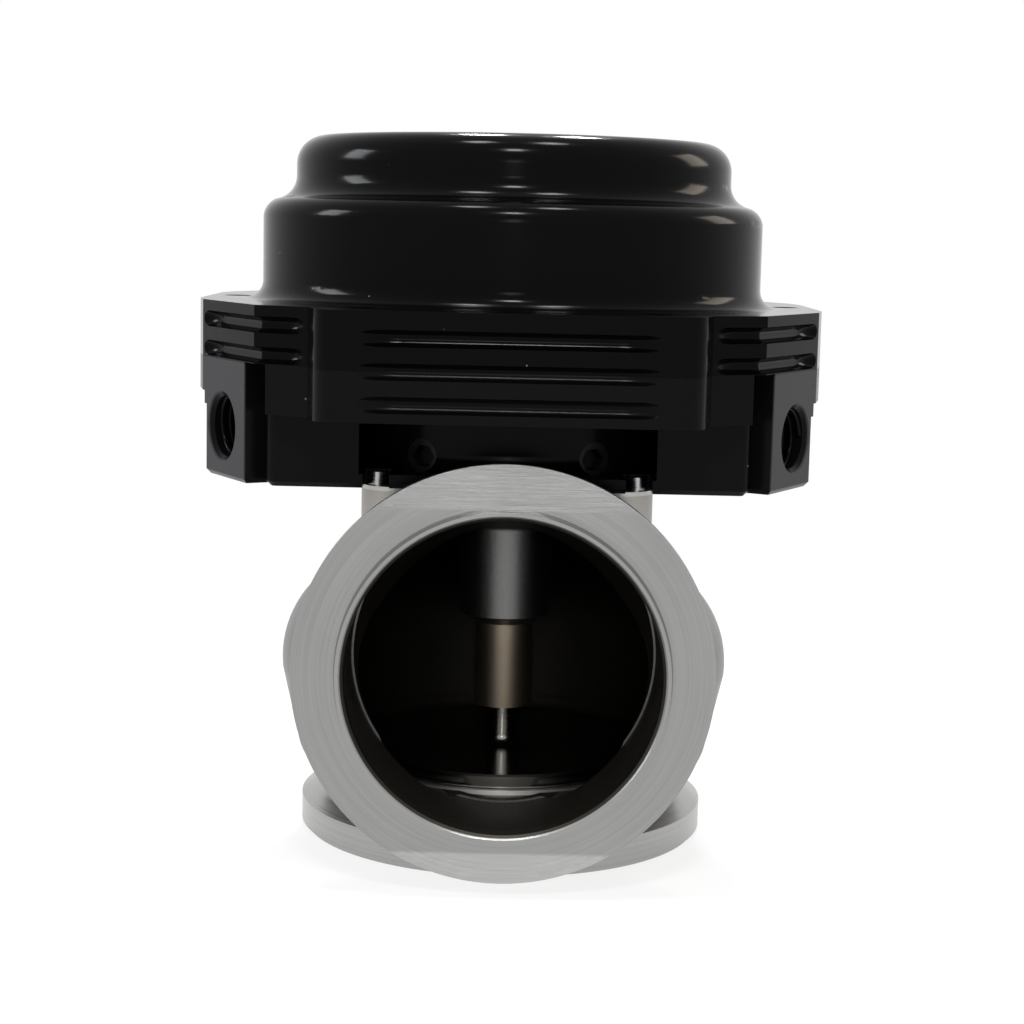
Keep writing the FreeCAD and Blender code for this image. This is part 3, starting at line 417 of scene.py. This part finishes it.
@dataclass(frozen=True)
class GlossBlack(Finish):
    """Black anodised and polished: almost no colour, a clear reflection, a little dust."""

    black: tuple[float, float, float] = (0.0012, 0.0012, 0.0013)
    grey: tuple[float, float, float] = (0.12, 0.12, 0.12)

    def paint(self, tree: Tree) -> Look:
        """Faint clouds in the gloss, hairline rings and dust specks."""
        x, y, z = tree.axes()
        radius = (x * x + y * y).root()
        rings = tree.noise(1.0, 1.0, vector=tree.vector(radius * 1500, z * 1500, 0.0))
        dust = tree.specks(210, 0.035)
        clouds = tree.noise(45, 3.0)
        colour = tree.mix(dust, self.black, self.grey)
        rough = 0.10 + clouds * 0.05 + dust * 0.4 + rings * 0.03
        return Look(colour, rough, 0.0, rings, 0.000002)


@dataclass(frozen=True)
class MilledBlack(Finish):
    """Black anodised over milling: satin, with the cutter's lines; port faces are rougher and carry a lighter
    painted tone for the light they face.
    """

    port_face: float = 47.7 * MM
    port_top: float = 74.0 * MM
    port_azimuth: float = 60.0
    edge: float = 0.1 * MM
    black: tuple[float, float, float] = (0.0022, 0.0022, 0.0024)
    # Painted light: the lighter colour of the port faces stands in for the lamps they face.
    satin: tuple[float, float, float] = (0.028, 0.028, 0.03)
    grey: tuple[float, float, float] = (0.12, 0.12, 0.12)

    def paint(self, tree: Tree) -> Look:
        """Fine level lines, a rougher satin on the four port faces, and painted light that makes them
        lighter.
        """
        x, y, z = tree.axes()
        turn = math.radians(self.port_azimuth)
        outwards = abs(x) * math.sin(turn) + abs(y) * math.cos(turn)
        port = outwards.rise(self.port_face, self.port_face + self.edge) * z.rise(
            self.port_top, self.port_top - self.edge)
        lines = tree.noise(1.0, 2.0, vector=tree.vector(x * 90, y * 90, z * 3000))
        dust = tree.specks(190, 0.03)
        clouds = tree.noise(60, 3.0)
        # Painted light: the port faces are mixed towards the lighter colour.
        colour = tree.mix(dust, tree.mix(port, self.black, self.satin), self.grey)
        rough = 0.2 + clouds * 0.08 + port * 0.16 + (lines - 0.5) * 0.06 + dust * 0.3
        return Look(colour, rough, 0.0, lines, 0.000006)


@dataclass(frozen=True)
class Rubber(Finish):
    """Moulded rubber."""

    def paint(self, tree: Tree) -> Look:
        """Matt with a fine mould grain."""
        grain = tree.noise(2200, 3.0)
        colour = tree.mix(tree.noise(90), (0.018, 0.018, 0.018), (0.035, 0.034, 0.033))
        return Look(colour, 0.6 + grain * 0.2, 0.0, grain, 0.00002)


@dataclass(frozen=True)
class Drawn(Finish):
    """Drawn or stamped metal with short scratches."""

    colour: tuple[float, float, float] = (0.5, 0.5, 0.5)
    roughness: float = 0.32

    def paint(self, tree: Tree) -> Look:
        """Stretched noise for the scratches and clouds for handling."""
        x, y, z = tree.axes()
        scratches = tree.noise(1.0, 3.0, vector=tree.vector(x * 1500, y * 300, z * 1500))
        low = tuple(0.75 * c for c in self.colour)
        colour = tree.mix(tree.noise(150), low, self.colour)
        return Look(colour, self.roughness + (scratches - 0.5) * 0.15, 1.0, scratches, 0.00001)


class Dress(Enum):
    """The finish of each material slot in the record."""

    stainless_body = ExhaustSteel("stainless_body")
    stainless_seat = Turned("stainless_seat", colour=(0.42, 0.415, 0.40), roughness=0.34)
    valve_steel = Turned("valve_steel", colour=(0.26, 0.255, 0.24), roughness=0.16, rings=1800.0)
    guide_bronze = Drawn("guide_bronze", colour=(0.30, 0.25, 0.19), roughness=0.45)
    gasket_steel = Drawn("gasket_steel", colour=(0.5, 0.5, 0.48))
    screw_steel = Turned("screw_steel", colour=(0.5, 0.5, 0.5), roughness=0.26, rings=3000.0)
    black_screw = Drawn("black_screw", colour=(0.03, 0.03, 0.03), roughness=0.35)
    black_housing = MilledBlack("black_housing", specular=0.06)
    black_cover = GlossBlack("black_cover", specular=0.05)
    seal_rubber = Rubber("seal_rubber")
    plain_aluminium = Turned("plain_aluminium", colour=(0.62, 0.62, 0.63), roughness=0.3)
    spring_steel = Drawn("spring_steel", colour=(0.2, 0.2, 0.21), roughness=0.3)


# ---- light, floor and camera ----------------------------------------------------------------------

@dataclass
class Lamp:
    """Square lamp on a sphere round the object, aimed at its middle."""

    name: str
    azimuth: float
    elevation: float
    distance: float
    width: float
    height: float
    power: float
    tint: tuple[float, float, float] = (1.0, 1.0, 1.0)

    def place(self, target: Vector) -> bpy.types.Object:
        """Put the lamp in the scene.

        Args:
            target: What it is aimed at.

        Returns:
            The lamp.
        """
        data = bpy.data.lights.new(self.name, "AREA")
        data.shape, data.size, data.size_y = "RECTANGLE", self.width, self.height
        data.energy, data.color = self.power, self.tint
        lamp = bpy.data.objects.new(self.name, data)
        a, e = math.radians(self.azimuth), math.radians(self.elevation)
        away = Vector((math.sin(a) * math.cos(e), -math.cos(a) * math.cos(e), math.sin(e)))
        lamp.location = target + away * self.distance
        lamp.rotation_mode = "QUATERNION"
        lamp.rotation_quaternion = (-away).to_track_quat("-Z", "Y")
        bpy.context.scene.collection.objects.link(lamp)
        return lamp


@dataclass
class Studio:
    """Pale floor, white surround and soft lamps."""

    target: Vector = field(default_factory=lambda: Vector((0.0, 0.0, 0.055)))
    floor_size: float = 6.0
    ambient: float = 0.55
    near_white: float = 0.82
    shadow_r: float = 0.05
    white_r: float = 0.26
    lamps: tuple[Lamp, ...] = (
        Lamp("front_softbox", 0.0, 50.0, 1.1, 0.12, 0.12, 5.0),
        Lamp("bore_light", 0.0, 11.0, 0.9, 0.10, 0.16, 0.35),
        Lamp("back_lamp_left", 186.0, 50.0, 1.4, 0.10, 0.10, 9.0),
        Lamp("back_lamp_right", 168.0, 50.0, 1.4, 0.10, 0.10, 9.0),
        Lamp("overhead_left", -60.0, 78.0, 1.3, 0.16, 0.16, 5.0),
        Lamp("overhead_right", 60.0, 78.0, 1.3, 0.16, 0.16, 5.0),
        Lamp("side_window", -92.0, 22.0, 1.3, 0.30, 0.45, 9.0, (0.92, 0.96, 1.0)),
        Lamp("side_wall_glow", 112.0, 22.0, 1.4, 0.40, 0.55, 6.0, (1.0, 0.86, 0.74)),
    )

    def build(self) -> None:
        """Make floor, world and lamps."""
        self._floor()
        self._world()
        for lamp in self.lamps:
            lamp.place(self.target)
            LOG.info("lamp %s", lamp.name)

    def _floor(self) -> None:
        """A level sheet under the object that shows white but keeps the shadow."""
        half = self.floor_size / 2
        corners = np.array([(-half, -half, 0), (half, -half, 0), (half, half, 0), (-half, half, 0)])
        mesh = bpy.data.meshes.new("floor")
        mesh.from_pydata(corners.tolist(), [], [(0, 1, 2, 3)])
        floor = bpy.data.objects.new("floor", mesh)
        bpy.context.scene.collection.objects.link(floor)
        made = bpy.data.materials.new("floor_white")
        made.use_nodes = True
        tree = Tree(made.node_tree)
        seen = self._seen(tree)
        lit = tree.node("ShaderNodeBsdfDiffuse", inputs={"Color": (0.86, 0.86, 0.86)})
        white = tree.node("ShaderNodeEmission", inputs={"Color": (1.0, 1.0, 1.0), "Strength": 1.0})
        x, y, _ = tree.axes()
        away = (x * x + y * y).root().rise(self.shadow_r, self.white_r)
        share = seen * (self.near_white + away * (1 - self.near_white))
        mixed = tree.node("ShaderNodeMixShader", inputs={0: share, 1: lit, 2: white})
        tree.node("ShaderNodeOutputMaterial", inputs={"Surface": mixed})
        mesh.materials.append(made)

    @staticmethod
    def _seen(tree: Tree) -> Value:
        """One for rays from the camera, from gloss and through glass."""
        path = tree.node("ShaderNodeLightPath", output="Is Camera Ray")
        outputs = path.socket.node.outputs
        gloss = Value(tree, outputs["Is Glossy Ray"])
        glass = Value(tree, outputs["Is Transmission Ray"])
        return (path + gloss + glass).least(1.0)

    def _world(self) -> None:
        """White where it is seen, and a plain level of light from all round."""
        world = bpy.data.worlds.new("surround")
        world.use_nodes = True
        tree = Tree(world.node_tree)
        level = self.ambient + self._seen(tree) * (1 - self.ambient)
        back = tree.node("ShaderNodeBackground", inputs={"Color": (1.0, 1.0, 1.0), "Strength": level})
        tree.node("ShaderNodeOutputWorld", inputs={"Surface": back})
        bpy.context.scene.world = world


@dataclass
class Viewpoint:
    """Camera in front of the outlet, a little above the rim of the cover."""

    distance: float = 0.32815
    height: float = 0.0944
    down: float = 7.81
    roll: float = 1.3
    pan: float = 0.144
    lens: float = 74.2

    def build(self) -> bpy.types.Object:
        """Make the camera and give it to the scene.

        Returns:
            The camera.
        """
        data = bpy.data.cameras.new("camera")
        data.lens, data.sensor_width = self.lens, 36.0
        data.clip_start, data.clip_end = 0.01, 50.0
        camera = bpy.data.objects.new("camera", data)
        turn = (Matrix.Rotation(math.radians(-self.pan), 4, "Z")
                @ Matrix.Rotation(math.radians(90 - self.down), 4, "X")
                @ Matrix.Rotation(math.radians(self.roll), 4, "Z"))
        camera.matrix_world = Matrix.Translation((0.0, -self.distance, self.height)) @ turn
        bpy.context.scene.collection.objects.link(camera)
        bpy.context.scene.camera = camera
        return camera


# ---- the object -----------------------------------------------------------------------------------

def closed_tube(name: str, rings: np.ndarray) -> bpy.types.Object:
    """Closed surface through a row of rings, with a flat cap on both ends.

    Args:
        name: Name of the object.
        rings: Points as an array of rings by points by three, each ring anticlockwise seen from ahead.

    Returns:
        The object, with its points in the part's own frame.
    """
    count, around, _ = rings.shape
    index = np.arange(count * around).reshape(count, around)
    after = np.roll(index, -1, axis=1)
    quads = np.stack([index[:-1], after[:-1], after[1:], index[1:]], axis=-1).reshape(-1, 4)
    faces = quads.tolist() + [index[0][::-1].tolist(), index[-1].tolist()]
    mesh = bpy.data.meshes.new(name)
    mesh.from_pydata(rings.reshape(-1, 3).tolist(), [], faces)
    mesh.shade_smooth()
    made = bpy.data.objects.new(name, mesh)
    bpy.context.scene.collection.objects.link(made)
    return made


@dataclass
class Spring:
    """Compression spring of round wire, ground flat at both ends; sizes are millimetres."""

    node: str
    mean_r: float
    wire_r: float
    turns: float
    low: float
    high: float
    ground: float
    body: str = "housing"
    joint: str = "valve_lift"
    slot: str = "spring_steel"
    points_per_turn: int = 40
    points_round_wire: int = 20

    def build(self) -> bpy.types.Object:
        """Wind the wire, whose centre is a helix.

        At turn t and wire angle p the radius is mean + wire * cos p and the height is the helix's
        height + wire * sin p, held between the two ground ends.

        Returns:
            The spring.
        """
        inset = self.wire_r * (1 - self.ground)
        turn = np.linspace(0.0, 2 * np.pi * self.turns, int(self.points_per_turn * self.turns))[:, None]
        phi = np.linspace(0.0, 2 * np.pi, self.points_round_wire, endpoint=False)[None, :]
        height = self.low + inset + (self.high - self.low - 2 * inset) * turn / turn[-1]
        radius = self.mean_r + self.wire_r * np.cos(phi)
        z = np.clip(height + self.wire_r * np.sin(phi), self.low, self.high)
        rings = np.stack([radius * np.cos(turn), radius * np.sin(turn), z], axis=-1)[:, ::-1] * MM
        made = closed_tube(self.node + "_wire", rings)
        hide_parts(self.node)
        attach(made, self.body)
        joints = frame["record"]["behaviour"]["joints"]
        travel = next(joint["range_m"][1] for joint in joints if joint["name"] == self.joint)
        1 - travel / ((self.high - self.low) * MM)
        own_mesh(made)
        LOG.info("spring %s", self.node)
        return made


@dataclass
class Thread:
    """Thread of a port: a ridge that winds along the wall of its tap hole; sizes are millimetres."""

    name: str
    azimuth: float
    height: float
    face: float
    depth: float
    wall_r: float
    pitch: float
    slot: str
    ridge: float = 0.55
    bite: float = 0.05
    foot: float = 0.46
    body: str = "housing"
    points_per_turn: int = 48

    def build(self) -> bpy.types.Object:
        """Wind the ridge: a triangle standing on the wall goes round and inwards along the hole.

        At turn t the triangle's tip stands in from the wall by the ridge's height, and its feet lie a
        share of the pitch to each side of it and a little way into the wall.

        Returns:
            The thread.
        """
        turns = self.depth / self.pitch
        turn = np.linspace(0.0, 2 * np.pi * turns, int(self.points_per_turn * turns))[:, None]
        across = np.array([-self.foot, 0.0, self.foot])[None, :] * self.pitch
        radius = self.wall_r + self.bite - self.ridge * np.array([0.0, 1.0, 0.0])[None, :]
        along = self.face - self.depth * turn / turn[-1] - across
        a = math.radians(self.azimuth)
        out, side = np.array([math.sin(a), -math.cos(a), 0.0]), np.array([math.cos(a), math.sin(a), 0.0])
        up = np.array([0.0, 0.0, 1.0])
        rings = (along[..., None] * out + (radius * np.cos(turn))[..., None] * side
                 + (self.height + radius * np.sin(turn))[..., None] * up) * MM
        made = closed_tube(self.name, rings)
        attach(made, self.body)
        LOG.info("thread %s", self.name)
        return made


@dataclass
class Carried:
    """The solids that are shown as they are, each in the finish of its slot."""

    record: dict[str, Any]
    made: dict[str, bpy.types.Material] = field(default_factory=dict)

    def dress(self) -> None:
        """Give every node its material."""
        made = {finish.name: finish.value.material() for finish in Dress}
        for part in self.record["subparts"]:
            node = frame["nodes"][part["node"]]
            node.data.materials.clear()
            node.data.materials.append(made[part["material_slot"]])
            LOG.info("dressed %s in %s", part["node"], part["material_slot"])
        self.made = made

    def finish(self, piece: bpy.types.Object, slot: str) -> None:
        """Give an added piece the material of its slot."""
        piece.data.materials.append(self.made[slot])


SPRING_ENDS = {"low": 72.5, "high": 103.6, "ground": 0.4}
SPRINGS = (
    Spring("spring_outer", mean_r=23.6, wire_r=2.0, turns=5.0, **SPRING_ENDS),
    Spring("spring_inner", mean_r=14.2, wire_r=1.5, turns=6.0, **SPRING_ENDS),
)
THREAD_START = 1.3           # full thread starts this far inside a port's face
THREAD_PITCH = 1.25
SIDE_PORTS = {"front_right": 60.0, "back_right": 120.0, "back_left": 240.0, "front_left": 300.0}
SIDE_PORT = {"height": 64.3, "face": 47.951 - THREAD_START, "depth": 7.2, "wall_r": 4.4}
TOP_PORT = {"height": 88.9, "face": 42.1 - THREAD_START, "depth": 5.4, "wall_r": 4.3}
THREADS = tuple(
    Thread(f"port_thread_{name}", azimuth, pitch=THREAD_PITCH, slot="black_housing", **SIDE_PORT)
    for name, azimuth in SIDE_PORTS.items()
) + (Thread("port_thread_top", 180.0, pitch=THREAD_PITCH, slot="black_cover", **TOP_PORT),)


def main() -> None:
    """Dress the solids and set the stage."""
    logging.basicConfig(level=logging.INFO, format="%(message)s")
    bpy.context.scene.view_settings.view_transform = "Standard"
    carried = Carried(frame["record"])
    carried.dress()
    for spring in SPRINGS:
        carried.finish(spring.build(), spring.slot)
    for thread in THREADS:
        carried.finish(thread.build(), thread.slot)
    Studio().build()
    Viewpoint().build()


if __name__ == "__main__":
    main()
